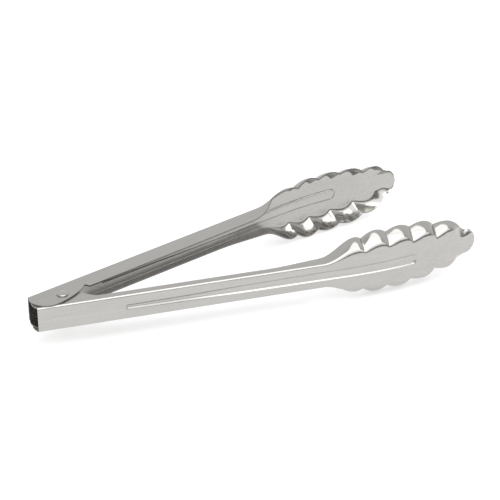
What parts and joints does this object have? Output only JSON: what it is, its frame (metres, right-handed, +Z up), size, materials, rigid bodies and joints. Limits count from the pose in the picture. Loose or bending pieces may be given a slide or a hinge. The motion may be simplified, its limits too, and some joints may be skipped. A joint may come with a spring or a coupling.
{
  "type": "kitchen tongs",
  "caption": "Sprung stainless kitchen tongs: channel arms with pressed ribs and scalloped dished heads, hinged on a rivet and held open by a coiled spring.",
  "frame": {"origin": "on the surface that the lowest head rim touches, under the middle of the bounding box of the open tongs lying on their side", "axes": "+X from the pivot towards the tips, midway between the two arms; +Y towards the arm that carries its outer ear on top; +Z up, along the pivot rivet"},
  "size_m": [0.2968, 0.1078, 0.046],
  "materials": {
    "arm_steel": "satin pressed stainless sheet",
    "rivet_steel": "headed stainless rivet",
    "spring_steel": "drawn spring wire"
  },
  "bodies": {
    "near_half": {"near_arm": "arm_steel", "pivot_rivet": "rivet_steel", "torsion_spring": "spring_steel"},
    "far_half": {"far_arm": "arm_steel"}
  },
  "joints": [
    {"name": "pivot_hinge", "type": "hinge", "parent": "near_half", "child": "far_half", "pos_m": [-0.12737, 0, 0.02299], "axis": [0, 0, 1], "range_deg": [-19.9, 0], "stiffness_Nm_per_rad": 0.6, "springref_deg": 25.78, "deforming": ["torsion_spring"]}
  ]
}
